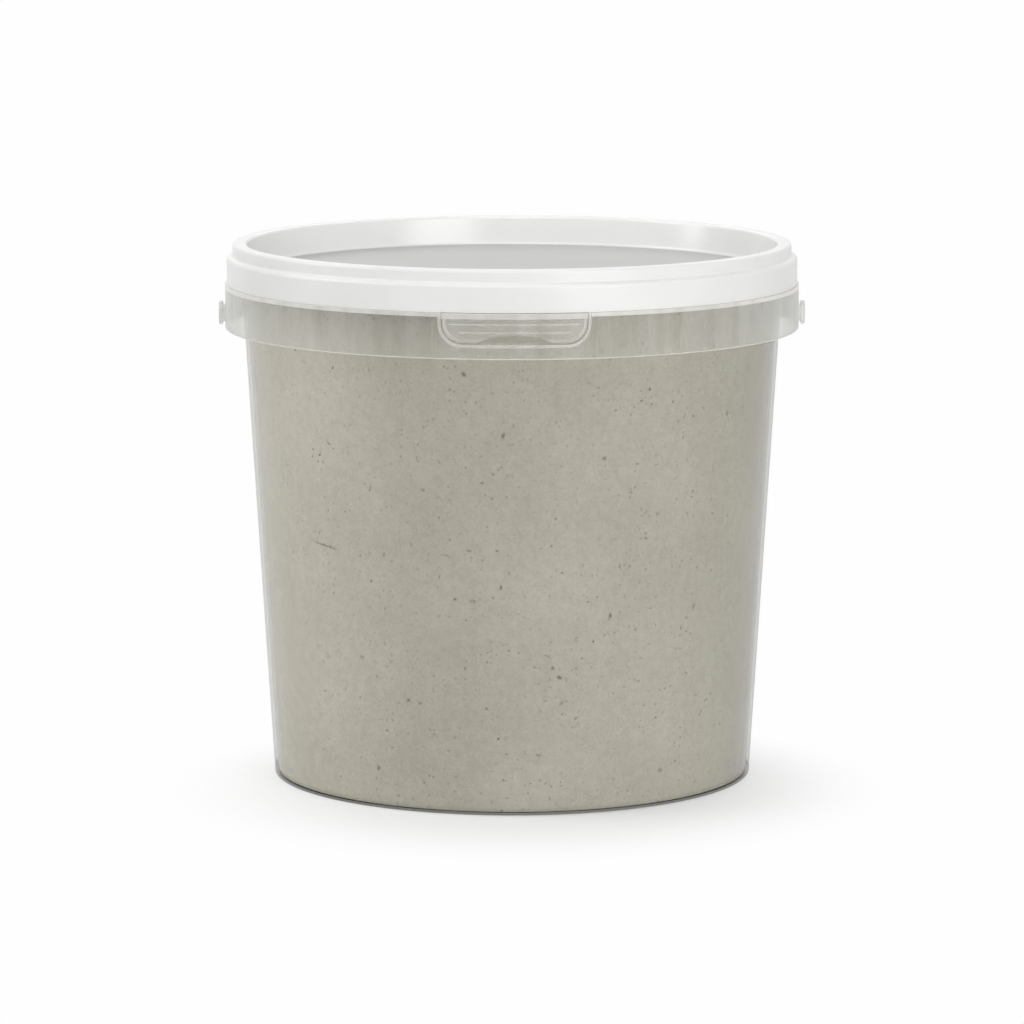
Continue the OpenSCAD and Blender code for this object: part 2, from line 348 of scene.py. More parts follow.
def whitePolypropylene(s):
    material, tree, shader, output = startMaterial("whitePolypropylene")
    place = addNode(tree, "ShaderNodeTexCoord").outputs["Object"]
    flat = addNode(tree, "ShaderNodeMapping", {"Vector": place, "Scale": (1, 1, 0)})
    radius = addNode(tree, "ShaderNodeVectorMath", {0: flat.outputs["Vector"]}, operation="LENGTH")
    onWall = addNode(tree, "ShaderNodeMapRange", {
        "Value": radius.outputs["Value"], "From Min": s["panelR"] * mm, "From Max": s["wallR"] * mm},
        interpolation_type="SMOOTHSTEP")
    onRing = addNode(tree, "ShaderNodeMapRange", {
        "Value": radius.outputs["Value"], "From Min": s["recessR"] * mm, "From Max": s["ringR"] * mm},
        interpolation_type="SMOOTHSTEP")
    # Painted shade on the panel and painted light on the recess wall, blended by radius
    inside = addNode(tree, "ShaderNodeMix", {
        "Factor": onWall.outputs[0], "A": linear(s["panel"]), "B": linear(s["recess"])}, data_type="RGBA")
    plain = addNode(tree, "ShaderNodeMix", {
        "Factor": onRing.outputs[0], "A": inside.outputs[2], "B": linear(s["ring"])}, data_type="RGBA")
    flow = addNode(tree, "ShaderNodeTexNoise", {
        "Vector": place, "Scale": perMetre(s["flowMm"]), "Detail": 3.0})
    shade = addNode(tree, "ShaderNodeMapRange", {
        "Value": flow.outputs["Fac"], "From Min": 0.3, "From Max": 0.7,
        "To Min": 1 - s["flowDepth"], "To Max": 1 + s["flowDepth"]})
    colour = addNode(tree, "ShaderNodeVectorMath", {
        0: plain.outputs[2], "Scale": shade.outputs[0]}, operation="SCALE")
    grain = addNode(tree, "ShaderNodeTexNoise", {
        "Vector": place, "Scale": perMetre(s["grainMm"]), "Detail": 2.0})
    bump = addNode(tree, "ShaderNodeBump", {
        "Height": grain.outputs["Fac"], "Strength": 0.15, "Distance": s["grainHighMm"] * mm})
    polish = addNode(tree, "ShaderNodeMapRange", {
        "Value": onWall.outputs[0], "To Min": s["panelRoughness"], "To Max": s["recessRoughness"]})
    gloss = addNode(tree, "ShaderNodeMapRange", {
        "Value": onRing.outputs[0], "To Min": polish.outputs[0], "To Max": s["ringRoughness"]})
    tree.links.new(colour.outputs["Vector"], shader.inputs["Base Color"])
    tree.links.new(gloss.outputs[0], shader.inputs["Roughness"])
    shader.inputs["Specular IOR Level"].default_value = s["specular"]
    tree.links.new(bump.outputs["Normal"], shader.inputs["Normal"])
    shader.inputs["IOR"].default_value = s["ior"]
    return material


# Cement-based filler paste pressed against the wall: a matt warm grey, clouded, with fine dark specks of sand
# and small air bubbles. The bubbles that show at the front have their places; the rest are scattered.

paste = {
    "light": "#b0ac9f",
    "dark": "#a7a396",
    "paintedLeftLight": 0.3,  # painted light: how much paler the paste is painted on its left (-x) side, where the light falls
    "paintedLeftLightFromMm": 35.0,
    "paintedLeftLightToMm": 85.0,
    "speck": "#69665c",
    "bubble": "#716e64",
    "ior": 1.5,
    "roughness": 0.85,
    "cloudMm": 55.0,
    "mottleMm": 3.5,
    "mottleDepth": 0.045,
    "grainMm": 0.9,
    "grainDepth": 0.08,
    "speckCellMm": 2.0,
    "speckMm": 0.6,
    "clusterMm": 14.0,
    "poreCellMm": 12.0,
    "poreMm": 0.9,
    "raggedMm": 0.8,
    "swayMm": 1.2,
    "pitMm": 0.4,
    # degrees round from the tab, height, half width, half height, lean in degrees, strength
    "bubbles": [
        (-47, 99.5, 7.5, 0.5, 8, 0.7), (-2.4, 146, 0.7, 1.5, 25, 1.0), (-3, 88, 0.7, 0.9, 0, 0.9),
        (19.6, 136.5, 0.9, 0.7, -20, 0.8), (29.8, 162, 0.8, 0.8, 0, 0.9), (30.4, 156, 0.7, 0.6, 20, 0.7),
        (53.4, 149, 0.9, 1.5, 20, 0.7), (22, 76, 0.7, 1.2, 10, 1.0), (10.4, 53, 1.1, 0.8, 15, 1.0),
        (8.8, 57, 0.6, 0.8, 0, 0.8), (7.9, 61, 0.7, 0.5, 0, 0.8), (-33.6, 15, 0.8, 0.9, 0, 0.9),
        (-25, 43, 0.6, 1.0, 20, 0.9), (-37, 58, 0.9, 0.9, 0, 0.7), (-9, 82.5, 0.9, 0.7, 30, 0.7),
        (-10.8, 75, 0.7, 0.7, 0, 0.7), (37, 13.5, 1.2, 1.0, 0, 0.6), (5.6, 23, 1.3, 0.5, -10, 0.7),
        (45.2, 76, 0.6, 1.3, 20, 0.6), (33.2, 114, 0.7, 0.7, 0, 0.6), (-10, 102, 0.9, 0.5, 15, 0.6),
        (-3.8, 102.3, 0.8, 0.5, 0, 0.8), (-19, 100, 0.5, 0.7, 0, 0.6), (-15.3, 100, 1.6, 0.4, 0, 0.5),
        (-30, 98.5, 0.6, 0.9, 10, 0.6), (-10.6, 169, 0.7, 1.2, -30, 0.8), (-7, 128, 0.7, 0.6, 0, 0.6),
        (10.8, 43, 1.2, 0.5, -35, 0.6), (-22, 42, 0.8, 0.6, 0, 0.5), (-33, 51, 1.0, 0.5, 40, 0.5),
    ],
}


def fillerPaste(s, wallR):
    material, tree, shader, output = startMaterial("cementFillerPaste")
    place = addNode(tree, "ShaderNodeTexCoord").outputs["Object"]
    cloud = addNode(tree, "ShaderNodeTexNoise", {
        "Vector": place, "Scale": perMetre(s["cloudMm"]), "Detail": 6.0, "Roughness": 0.6})
    cloudShare = addNode(tree, "ShaderNodeMapRange", {
        "Value": cloud.outputs["Fac"], "From Min": 0.35, "From Max": 0.65})
    base = addNode(tree, "ShaderNodeMix", {
        "Factor": cloudShare.outputs[0], "A": linear(s["dark"]), "B": linear(s["light"])}, data_type="RGBA")
    grain = addNode(tree, "ShaderNodeTexNoise", {
        "Vector": place, "Scale": perMetre(s["grainMm"]), "Detail": 3.0})
    grainShade = addNode(tree, "ShaderNodeMapRange", {
        "Value": grain.outputs["Fac"], "From Min": 0.25, "From Max": 0.75,
        "To Min": 1 - s["grainDepth"], "To Max": 1 + s["grainDepth"]})
    sideways = addNode(tree, "ShaderNodeSeparateXYZ", {"Vector": place})
    # Painted light: the paste's left (-x) side is painted paler, for the light that falls on it from the left
    paintedLeftLightFactor = addNode(tree, "ShaderNodeMapRange", {
        "Value": sideways.outputs["X"], "From Min": -s["paintedLeftLightFromMm"] * mm, "From Max": -s["paintedLeftLightToMm"] * mm,
        "To Min": 1.0, "To Max": 1 + s["paintedLeftLight"]}, interpolation_type="SMOOTHSTEP")
    mottle = addNode(tree, "ShaderNodeTexNoise", {
        "Vector": place, "Scale": perMetre(s["mottleMm"]), "Detail": 2.0})
    mottleShade = addNode(tree, "ShaderNodeMapRange", {
        "Value": mottle.outputs["Fac"], "From Min": 0.3, "From Max": 0.7,
        "To Min": 1 - s["mottleDepth"], "To Max": 1 + s["mottleDepth"]})
    fine = addNode(tree, "ShaderNodeMath", {0: grainShade.outputs[0], 1: mottleShade.outputs[0]},
                   operation="MULTIPLY")
    shade = addNode(tree, "ShaderNodeMath", {0: fine.outputs[0], 1: paintedLeftLightFactor.outputs[0]},
                    operation="MULTIPLY")
    grained = addNode(tree, "ShaderNodeVectorMath", {
        0: base.outputs[2], "Scale": shade.outputs[0]}, operation="SCALE")

    # Edges of specks and bubbles are made ragged by moving the point they are read at
    ragged = addNode(tree, "ShaderNodeTexNoise", {
        "Vector": place, "Scale": perMetre(s["raggedMm"]), "Detail": 2.0})
    sway = s["swayMm"] * mm
    offset = addNode(tree, "ShaderNodeVectorMath", {
        0: ragged.outputs["Color"], 1: (2 * sway, 2 * sway, 2 * sway), 2: (-sway, -sway, -sway)},
        operation="MULTIPLY_ADD")
    moved = addNode(tree, "ShaderNodeVectorMath", {0: place, 1: offset.outputs["Vector"]}).outputs["Vector"]

    # Each cell's own colour sets how strong its spot is, and the spots come in loose clusters
    cluster = addNode(tree, "ShaderNodeTexNoise", {
        "Vector": place, "Scale": perMetre(s["clusterMm"]), "Detail": 2.0})
    crowd = addNode(tree, "ShaderNodeMapRange", {
        "Value": cluster.outputs["Fac"], "From Min": 0.4, "From Max": 0.62, "To Min": 0.25, "To Max": 1.2})
    masks = []
    for cell, size in (("speckCellMm", "speckMm"), ("poreCellMm", "poreMm")):
        spots = addNode(tree, "ShaderNodeTexVoronoi", {"Vector": moved, "Scale": perMetre(s[cell])})
        reach = s[size] / s[cell]
        spot = addNode(tree, "ShaderNodeMapRange", {
            "Value": spots.outputs["Distance"], "From Min": reach, "From Max": reach * 0.3},
            interpolation_type="SMOOTHSTEP")
        chance = addNode(tree, "ShaderNodeSeparateColor", {"Color": spots.outputs["Color"]})
        strength = addNode(tree, "ShaderNodeMath", {0: chance.outputs["Red"], 1: 1.5}, operation="POWER")
        crowded = addNode(tree, "ShaderNodeMath", {0: strength.outputs[0], 1: crowd.outputs[0]},
                          operation="MULTIPLY")
        mask = addNode(tree, "ShaderNodeMath", {0: spot.outputs[0], 1: crowded.outputs[0]},
                       operation="MULTIPLY", use_clamp=True)
        masks.append(mask.outputs[0])
    bubbleMask = masks.pop()
    for angle, height, halfWide, halfHigh, lean, strength in s["bubbles"]:
        turn = np.radians(angle)
        r = wallR(height)
        # A unit ball once moved to the bubble, turned to face out of the wall and scaled by its half sizes
        local = addNode(tree, "ShaderNodeMapping", {
            "Vector": moved,
            "Location": (r * np.sin(turn) * mm, -r * np.cos(turn) * mm, height * mm),
            "Rotation": (0, np.radians(lean), turn),
            "Scale": (halfWide * mm, 2.5 * mm, halfHigh * mm)}, vector_type="TEXTURE")
        away = addNode(tree, "ShaderNodeVectorMath", {0: local.outputs["Vector"]}, operation="LENGTH")
        spot = addNode(tree, "ShaderNodeMapRange", {
            "Value": away.outputs["Value"], "From Min": 1.35, "From Max": 0.3, "To Max": strength},
            interpolation_type="SMOOTHSTEP")
        bubbleMask = addNode(tree, "ShaderNodeMath", {0: bubbleMask, 1: spot.outputs[0]},
                             operation="MAXIMUM").outputs[0]
    specked = addNode(tree, "ShaderNodeMix", {
        "Factor": masks[0], "A": grained.outputs["Vector"], "B": linear(s["speck"])}, data_type="RGBA")
    colour = addNode(tree, "ShaderNodeMix", {
        "Factor": bubbleMask, "A": specked.outputs[2], "B": linear(s["bubble"])}, data_type="RGBA")
    pits = addNode(tree, "ShaderNodeMath", {0: masks[0], 1: 0.3, 2: bubbleMask}, operation="MULTIPLY_ADD")
    bump = addNode(tree, "ShaderNodeBump", {
        "Height": pits.outputs[0], "Strength": 0.5, "Distance": s["pitMm"] * mm}, invert=True)
    tree.links.new(colour.outputs[2], shader.inputs["Base Color"])
    tree.links.new(bump.outputs["Normal"], shader.inputs["Normal"])
    shader.inputs["Roughness"].default_value = s["roughness"]
    shader.inputs["IOR"].default_value = s["ior"]
    return material


# Tub wall and base: one turned shell

tubSizes = {
    "footR": 93.7,
    "footInR": 87.1,
    "footH": 0.9,
    "footRound": 0.15,
    "milkAndPaintedShadeZ": 1.0,  # below this the foot is thick and painted dark: painted shade for the dark under the base
    "paintedShadeUnder": 0.05,  # two rings close to that height keep the change sharp
    "paintedShadeOver": 0.1,
    "milkAndPaintedShade": 0.92,
    "baseT": 0.8,
    "wallT": 1.3,
    "innerRound": 0.8,
    "edge": 0.35,
    "spacing": 6.0,
    "segments": 288,
}
tubTopR = boxMm("tub")[1][0]
tubTopZ = boxMm("tub")[1][2]


def wallOutR(z):
    # Outer radius of the tapered wall at a height
    return tubSizes["footR"] + (tubTopR - tubSizes["footR"]) * z / tubTopZ


def tubShape(s):
    # A section (r, z) carried round the axis: out under the base, round the foot, up the wall and back inside
    baseTop = s["footH"] + s["baseT"]
    paintedShadeLow = s["milkAndPaintedShadeZ"] - s["paintedShadeUnder"]
    paintedShadeHigh = s["milkAndPaintedShadeZ"] + s["paintedShadeOver"]
    outline = roundedOutline([
        (0, s["footH"], 0),
        (s["footInR"] - s["footH"] / 2, s["footH"], s["edge"]),
        (s["footInR"], 0, s["edge"]),
        (s["footR"], 0, s["footRound"]),
        (wallOutR(paintedShadeLow), paintedShadeLow, 0),
        (wallOutR(paintedShadeHigh), paintedShadeHigh, 0),
        (tubTopR, tubTopZ, 0),
        (tubTopR - s["wallT"], tubTopZ, 0),
        (wallOutR(baseTop) - s["wallT"], baseTop, s["innerRound"]),
        (0, baseTop, 0),
    ])
    return turned(refined(outline, s["spacing"], closed=False), s["segments"], closed=False)


wetMaterial = naturalPolypropylene("naturalPolypropyleneWet", wetWall)
naturalMaterial = naturalPolypropylene("naturalPolypropylene", dryWall)
tubShell = putPiece("tubShell", tubShape(tubSizes), wetMaterial, ["tub"], "tub")
# Painted shade: the foot below this height is opaque and dark, for the shade under the base
setAttribute(tubShell, "milkAndPaintedShade", lambda co: tubSizes["milkAndPaintedShade"] * (co[:, 2] < tubSizes["milkAndPaintedShadeZ"]))


# Rim: the upright neck with its snap bead, which the lid grips

neckSizes = {
    "neckR": 106.9,
    "neckT": 1.7,
    "stubR": 107.4,
    "beadR": 109.2,
    "beadLow": 197.4,
    "beadH": 5.0,
    "edge": 0.4,
    "seatRound": 0.2,
    "stepH": 1.4,
    "milkAndPaintedShade": 0.14,
    "spacing": 4.0,
    "segments": 288,
}
rimLow, rimHigh = boxMm("rim")
flangeTop = 193.0


def neckShape(s):
    # A closed section (r, z) with the bead on its outer side, carried round the axis
    inR = s["neckR"] - s["neckT"]
    rimTop = rimHigh[2]
    low = rimLow[2]
    outline = roundedOutline([
        (tubTopR - tubSizes["wallT"], low, 0),
        (s["stubR"], low, 0),
        (s["stubR"], flangeTop, s["seatRound"]),
        (s["neckR"], flangeTop, s["seatRound"]),
        (s["neckR"], s["beadLow"], s["edge"]),
        (s["beadR"], s["beadLow"] + s["beadH"] * 0.2, s["edge"]),
        (s["beadR"], s["beadLow"] + s["beadH"] * 0.5, s["edge"]),
        (s["neckR"], s["beadLow"] + s["beadH"], s["edge"]),
        (s["neckR"], rimTop, s["neckT"] * 0.4),
        (inR, rimTop, s["neckT"] * 0.4),
        (inR, flangeTop + s["stepH"], s["edge"]),
    ])
    return turned(refined(outline, s["spacing"]), s["segments"])


rimNeck = putPiece("rimNeck", neckShape(neckSizes), naturalMaterial, ["rim"], "tub")
setAttribute(rimNeck, "milkAndPaintedShade", lambda co: np.full(len(co), neckSizes["milkAndPaintedShade"]))


# Skirt with the flange that carries it. The window for the tab is cut out of both.

skirtSizes = {
    "outR": 112.0,
    "thick": 1.2,
    "flangeInR": 107.2,
    "flangeT": 1.4,
    "windowHalf": 27.4,
    "windowLow": 181.4,
    "windowCorner": 7.8,
    "edge": 0.3,
    "topProud": 0.15,
    "topRound": 0.06,
    "flangeRound": 0.1,
    "milkAndPaintedShadeZ": 191.5,  # the flange above this is thick and milky
    "flangeMilk": 0.65,
    "lipMilk": 0.9,  # the lower lip catches the light
    "lipH": 0.45,
    "rings": 264,
}
skirtLow = boxMm("skirt")[0][2]


def skirtShape(s):
    # A ring plate carried round the axis, in two parts: outside the window its section has the flange on top,
    # inside it the plate's top follows the window's edge. Flat faces at the window's sides join the parts.
    outR, half = s["outR"], s["thick"] / 2
    inR, mid = outR - s["thick"], outR - half
    footZ = skirtLow + half
    sideZ = s["windowLow"] + s["windowCorner"]
    plateZ = np.linspace(footZ, sideZ - s["edge"], 9)
    arc = np.linspace(np.pi, 2 * np.pi, 9)
    foot = np.stack([mid + half * np.cos(arc), footZ + half * np.sin(arc)], 1)
    inner = np.stack([np.full(8, inR), plateZ[:0:-1]], 1)
    outer = np.stack([np.full(8, outR), plateZ[1:]], 1)
    plate = np.vstack([inner, foot, outer])
    flange = roundedOutline([
        (outR, plateZ[-1], 0),
        (outR, s["milkAndPaintedShadeZ"] - 0.05, 0),
        (outR, s["milkAndPaintedShadeZ"] + 0.2, 0),
        (outR, flangeTop + s["topProud"], s["topRound"]),
        (s["flangeInR"], flangeTop + s["topProud"], s["flangeRound"]),
        (s["flangeInR"], flangeTop - s["flangeT"], s["flangeRound"]),
        (inR, flangeTop - s["flangeT"], s["edge"]),
        (inR, plateZ[-1], 0),
    ])[1:-1]

    section = np.vstack([plate, flange])
    r, z = section[:, 0], section[:, 1]
    side = np.arcsin(s["windowHalf"] / r)
    angle = side + np.linspace(0, 1, s["rings"])[:, None] * (2 * np.pi - 2 * side)
    outVerts = np.stack(np.broadcast_arrays(r * np.sin(angle), -r * np.cos(angle), z), -1)

    turn = np.linspace(0, np.pi / 2, 13)
    cornerX = s["windowHalf"] - s["windowCorner"] + s["windowCorner"] * np.sin(turn)
    cornerZ = sideZ - s["windowCorner"] * np.cos(turn)
    straight = np.linspace(-cornerX[0], cornerX[0], 26)[1:-1]
    x = np.concatenate([-cornerX[::-1], straight, cornerX])[:, None]
    topZ = np.concatenate([cornerZ[::-1], np.full(24, s["windowLow"]), cornerZ])[:, None]
    share = np.clip((plate[:, 1] - footZ) / (plateZ[-1] - footZ), 0, 1)
    low = np.minimum(plate[:, 1], footZ)
    plateIn = low + share * (topZ - s["edge"] - footZ)
    across = np.linspace(1, -1, 9)[1:-1]
    capR = mid + half * across
    capZ = topZ - s["edge"] * across ** 4
    r = np.broadcast_to(np.concatenate([plate[:, 0], capR]), (len(x), len(plate) + len(capR)))
    inVerts = np.stack(np.broadcast_arrays(x, -np.sqrt(r * r - x * x), np.hstack([plateIn, capZ])), -1)

    start = outVerts.shape[0] * outVerts.shape[1]
    count, inCount = len(section), inVerts.shape[1]
    lastIn = start + (len(x) - 1) * inCount
    lastOut = (s["rings"] - 1) * count
    rim = np.concatenate([np.arange(len(plate) - 1, count), [0]])
    cap = np.arange(inCount - 1, len(plate) - 1, -1)
    rightSide = np.concatenate([rim, lastIn + cap])[None, :]
    leftSide = np.concatenate([lastOut + rim, start + cap])[None, :]
    faces = [gridFaces(s["rings"], count, False, True), start + gridFaces(len(x), inCount, False, True),
             rightSide, leftSide]
    return np.vstack([outVerts.reshape(-1, 3), inVerts.reshape(-1, 3)]), faces


def skirtMilk(s, z):
    # The flange and the lower lip are thick, and the plate between them is clear
    flange = s["flangeMilk"] * smooth((z - s["milkAndPaintedShadeZ"]) / 0.15)
    return flange + s["lipMilk"] * smooth((skirtLow + s["lipH"] - z) / 0.3)


flangeSkirt = putPiece("flangeSkirt", skirtShape(skirtSizes), naturalMaterial,
                       ["skirt"], "tub")
setAttribute(flangeSkirt, "milkAndPaintedShade", lambda co: skirtMilk(skirtSizes, co[:, 2]))


# Bead that frames the window

beadSizes = {
    "half": 28.0,
    "low": 180.8,
    "underTop": 0.1,
    "corner": 8.4,
    "wide": 1.2,
    "proud": 0.45,
    "rooted": 0.3,
    "round": 0.6,
    "milkAndPaintedShade": 0.25,
}


def beadShape(s):
    # A flattened round section carried along a U that is bent round the skirt
    top = flangeTop - s["underTop"]
    path = refined(roundedOutline([
        (-s["half"], top, 0), (-s["half"], s["low"], s["corner"]),
        (s["half"], s["low"], s["corner"]), (s["half"], top, 0)], 12), 1.0, closed=False)
    tangent = unit(np.gradient(path, axis=0))
    normal = np.stack([tangent[:, 1], -tangent[:, 0]], 1)
    a = np.linspace(0, 2 * np.pi, 20, endpoint=False)
    wide = s["wide"] / 2 * np.sign(np.cos(a)) * np.abs(np.cos(a)) ** s["round"]
    high = np.where(np.sin(a) > 0, s["proud"], s["rooted"]) * np.sign(np.sin(a))
    high = high * np.abs(np.sin(a)) ** s["round"]
    x = path[:, :1] + normal[:, :1] * wide
    z = path[:, 1:] + normal[:, 1:] * wide
    r = skirtSizes["outR"] + np.broadcast_to(high, x.shape)
    verts = np.stack([x, -np.sqrt(r * r - x * x), z], -1).reshape(-1, 3)
    ends = np.arange(len(a))[None, :]
    return verts, [gridFaces(len(path), len(a), False, True), ends, ends + (len(path) - 1) * len(a)]


frameBead = putPiece("frameBead", beadShape(beadSizes), naturalMaterial, ["skirt"], "tub")
setAttribute(frameBead, "milkAndPaintedShade", lambda co: np.full(len(co), beadSizes["milkAndPaintedShade"]))


# Ribs behind the skirt

ribSizes = {
    "firstDeg": 16.0,
    "stepDeg": 18.5,
    "perSide": 9,
    "thick": 1.2,
    "rise": 1.0,
    "edge": 0.45,
    "topGap": 0.05,
    "rooted": 0.1,  # how far each end goes into the wall and the skirt
    "clear": 0.95,
    "milkAndPaintedShade": 0.07,  # only where a rib meets the skirt
    "milkR": 109.9,
}


def ribShape(s):
    # A slab with a rounded lower edge, stretched from the tapered wall to the skirt
    half = s["thick"] / 2
    low, top = skirtLow + s["rise"], tubTopZ - s["topGap"]
    outline = refined(roundedOutline([
        (-half, low, s["edge"]), (half, low, s["edge"]), (half, top, 0), (-half, top, 0)], 4), 4.0)
    x, z = outline[:, 0], outline[:, 1]
    reach = np.array([0, 0.4, 0.78, 0.86, 1])[:, None]
    inR = wallOutR(z) - s["rooted"]
    outR = skirtSizes["outR"] - skirtSizes["thick"] + s["rooted"]
    r = inR + reach * (outR - inR)
    verts = np.stack(np.broadcast_arrays(x, -np.sqrt(r * r - x * x), z), -1).reshape(-1, 3)
    ends = np.arange(len(outline))[None, :]
    faces = [gridFaces(len(reach), len(outline), False, True), ends, ends + (len(reach) - 1) * len(outline)]
    steps = np.radians(s["firstDeg"] + s["stepDeg"] * np.arange(s["perSide"]))
    return repeated(verts, faces, np.concatenate([-steps, steps]))


ribWebs = putPiece("ribWebs", ribShape(ribSizes), naturalMaterial, ["skirt_ribs"], "tub")
setAttribute(ribWebs, "clear", lambda co: np.full(len(co), ribSizes["clear"]))
setAttribute(ribWebs, "milkAndPaintedShade", lambda co: ribSizes["milkAndPaintedShade"] * smooth(
    (np.hypot(co[:, 0], co[:, 1]) - ribSizes["milkR"]) / 0.6))


# Handle studs

studSizes = {
    "z": 181.1,
    "rootX": 111.3,
    "neckR": 3.5,
    "headX": 112.9,
    "headR": 4.65,
    "edge": 0.5,
    "dome": 0.15,
    "milkAndPaintedShade": 0.5,
}
studTipX = boxMm("handle_studs")[1][0]


def studShape(s):
    # A turned pin laid along x, and its copy on the other side
    outline = refined(roundedOutline([
        (0, s["rootX"], 0),
        (s["neckR"], s["rootX"], 0),
        (s["neckR"], s["headX"], 0.2),
        (s["headR"], s["headX"], 0.3),
        (s["headR"], studTipX - s["dome"], s["edge"]),
        (s["headR"] / 2, studTipX - s["dome"] / 4, 1.0),
        (0, studTipX, 0),
    ]), 1.2, closed=False, edge=0.1)
    verts, faces = turned(outline, 72, closed=False)
    laid = np.stack([verts[:, 2], verts[:, 0], verts[:, 1] + s["z"]], 1)
    return repeated(laid, faces, np.array([0, np.pi]))


handleStuds = putPiece("handleStuds", studShape(studSizes), naturalMaterial,
                       ["handle_studs"], "tub")
setAttribute(handleStuds, "clear", lambda co: np.ones(len(co)))
setAttribute(handleStuds, "milkAndPaintedShade", lambda co: np.full(len(co), studSizes["milkAndPaintedShade"]))


# Tamper tab: a bent plate with a raised border, two grip ridges, a finger lip and a flat arch above its hinge

tabSizes = {
    "half": 26.9,
    "corner": 7.3,
    "low": 182.1,
    "top": 193.05,
    "frontR": 112.0,
    "backR": 110.8,
    "border": 1.3,
    "ridgeProud": 0.4,
    "lipH": 2.2,
    "lipProud": 0.78,
    "lipWide": 0.35,
    "ridges": [(188.8, 25.0), (185.8, 21.4)],  # height and half length
    "ridgeHalfH": 0.38,
    "archHalf": 14.0,
    "archH": 2.8,
    "archDepth": 0.45,
    "archClear": 0.8,
    "milkAndPaintedShade": 0.08,
    "thickMilk": 0.5,
    "edge": 0.25,
}


def archShare(s, x, z):
    # 1 inside the arch, whose circle passes through its two feet and its crown
    r = (s["archHalf"] ** 2 + s["archH"] ** 2) / (2 * s["archH"])
    return smooth((r - np.hypot(x, z - (s["low"] + s["archH"] - r))) / 0.3 + 0.5)


def tabRelief(s, x, z):
    # Depth inside the outline is the distance to a box with rounded lower corners. The border stands where it
    # is small, the ridges are half rounds, the lip is a step and the arch is sunk.
    qx, qz = np.abs(x) - (s["half"] - s["corner"]), s["low"] + s["corner"] - z
    outside = np.hypot(np.maximum(qx, 0), np.maximum(qz, 0)) + np.minimum(np.maximum(qx, qz), 0)
    depth = s["corner"] - outside
    relief = s["ridgeProud"] * smooth((s["border"] - depth) / 0.3 + 0.5)
    for height, halfLong in s["ridges"]:
        hump = np.sqrt(np.maximum(1 - ((z - height) / s["ridgeHalfH"]) ** 2, 0))
        relief = np.maximum(relief, s["ridgeProud"] * hump * smooth((halfLong - np.abs(x)) / 0.6))
    relief = np.maximum(relief, s["lipProud"] * smooth((z - (s["top"] - s["lipH"])) / 0.35 + 0.5))
    arch = archShare(s, x, z)
    rounding = s["edge"] * (1 - smooth(np.minimum(depth, s["top"] - z) / 0.35))
    return relief * (1 - arch) - s["archDepth"] * arch, rounding


def tabShape(s):
    # A grid of (x, z) whose rows are as wide as the tab at that height, with the relief added to its front
    zRow = np.linspace(s["low"], s["top"], 92)
    sunk = np.clip(s["low"] + s["corner"] - zRow, 0, s["corner"])
    halfRow = s["half"] - s["corner"] + np.sqrt(s["corner"] ** 2 - sunk ** 2)
    halfRow += s["lipWide"] * smooth((zRow - (s["top"] - s["lipH"])) / 0.3 + 0.5)
    side = np.linspace(0.92, 1, 14)  # closer steps over the raised border
    u = np.concatenate([np.linspace(-1, -0.92, 14), np.linspace(-0.92, 0.92, 76)[1:-1], side])
    x = halfRow[:, None] * u
    z = np.broadcast_to(zRow[:, None], x.shape)
    relief, rounding = tabRelief(s, x, z)
    return curvedPlate(x, z, s["frontR"] + relief - rounding, s["backR"] + 0.4 * rounding)


tabPlate = putPiece("tabPlate", tabShape(tabSizes), naturalMaterial, ["tamper_tab"], "tab")


def tabMilk(s, x, z):
    # The plate is milky all over, more where it is thick, and clear in the arch
    thick = np.maximum(tabRelief(s, x, z)[0], 0) * (0.35 + 0.65 * smooth((z - s["low"] - 1.5) / 3))
    return s["milkAndPaintedShade"] * (1 - archShare(s, x, z)) + s["thickMilk"] * thick


setAttribute(tabPlate, "clear", lambda co: tabSizes["archClear"] * archShare(tabSizes, co[:, 0], co[:, 2]))
setAttribute(tabPlate, "milkAndPaintedShade", lambda co: tabMilk(tabSizes, co[:, 0], co[:, 2]))


# Hinge web under the tab, the strip that the real tab bends about as it folds down

hingeSizes = {"half": 12.0, "low": 181.3, "top": 182.2, "frontR": 111.55, "backR": 111.05, "groove": 0.12}


def hingeShape(s):
    # A thin bent plate whose front is hollowed by a sine squared between its two edges
    x, z = np.meshgrid(np.linspace(-s["half"], s["half"], 33), np.linspace(s["low"], s["top"], 9))
    waist = s["groove"] * np.sin(np.pi * (z - s["low"]) / (s["top"] - s["low"])) ** 2
    return curvedPlate(x, z, s["frontR"] - waist, np.full(x.shape, s["backR"]))


hingeWeb = putPiece("hingeWeb", hingeShape(hingeSizes), naturalMaterial, ["tab_hinge"])
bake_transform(hingeWeb)


# Break-off bridges at the tab's upper corners

bridgeSizes = {
    "inX": 26.8,
    "outX": 27.5,
    "z": 190.4,
    "halfH": 0.5,
    "waist": 0.3,
    "frontR": 111.95,
    "backR": 111.5,
}


def bridgeShape(s):
    # A short tie, slimmest at its middle where it tears
    x, v = np.meshgrid(np.linspace(s["inX"], s["outX"], 9), np.linspace(-1, 1, 7))
    slim = 1 - s["waist"] * np.sin(np.pi * (x - s["inX"]) / (s["outX"] - s["inX"])) ** 2
    z = s["z"] + s["halfH"] * v * slim
    front, back = np.full(x.shape, s["frontR"]), np.full(x.shape, s["backR"])
    return joined(curvedPlate(x, z, front, back), curvedPlate(-x, z, front, back))


putPiece("breakBridges", bridgeShape(bridgeSizes), naturalMaterial, ["tab_bridges"], "tub")


# Lid: one turned shell with a deep recess, a stepped ring and a snap hook

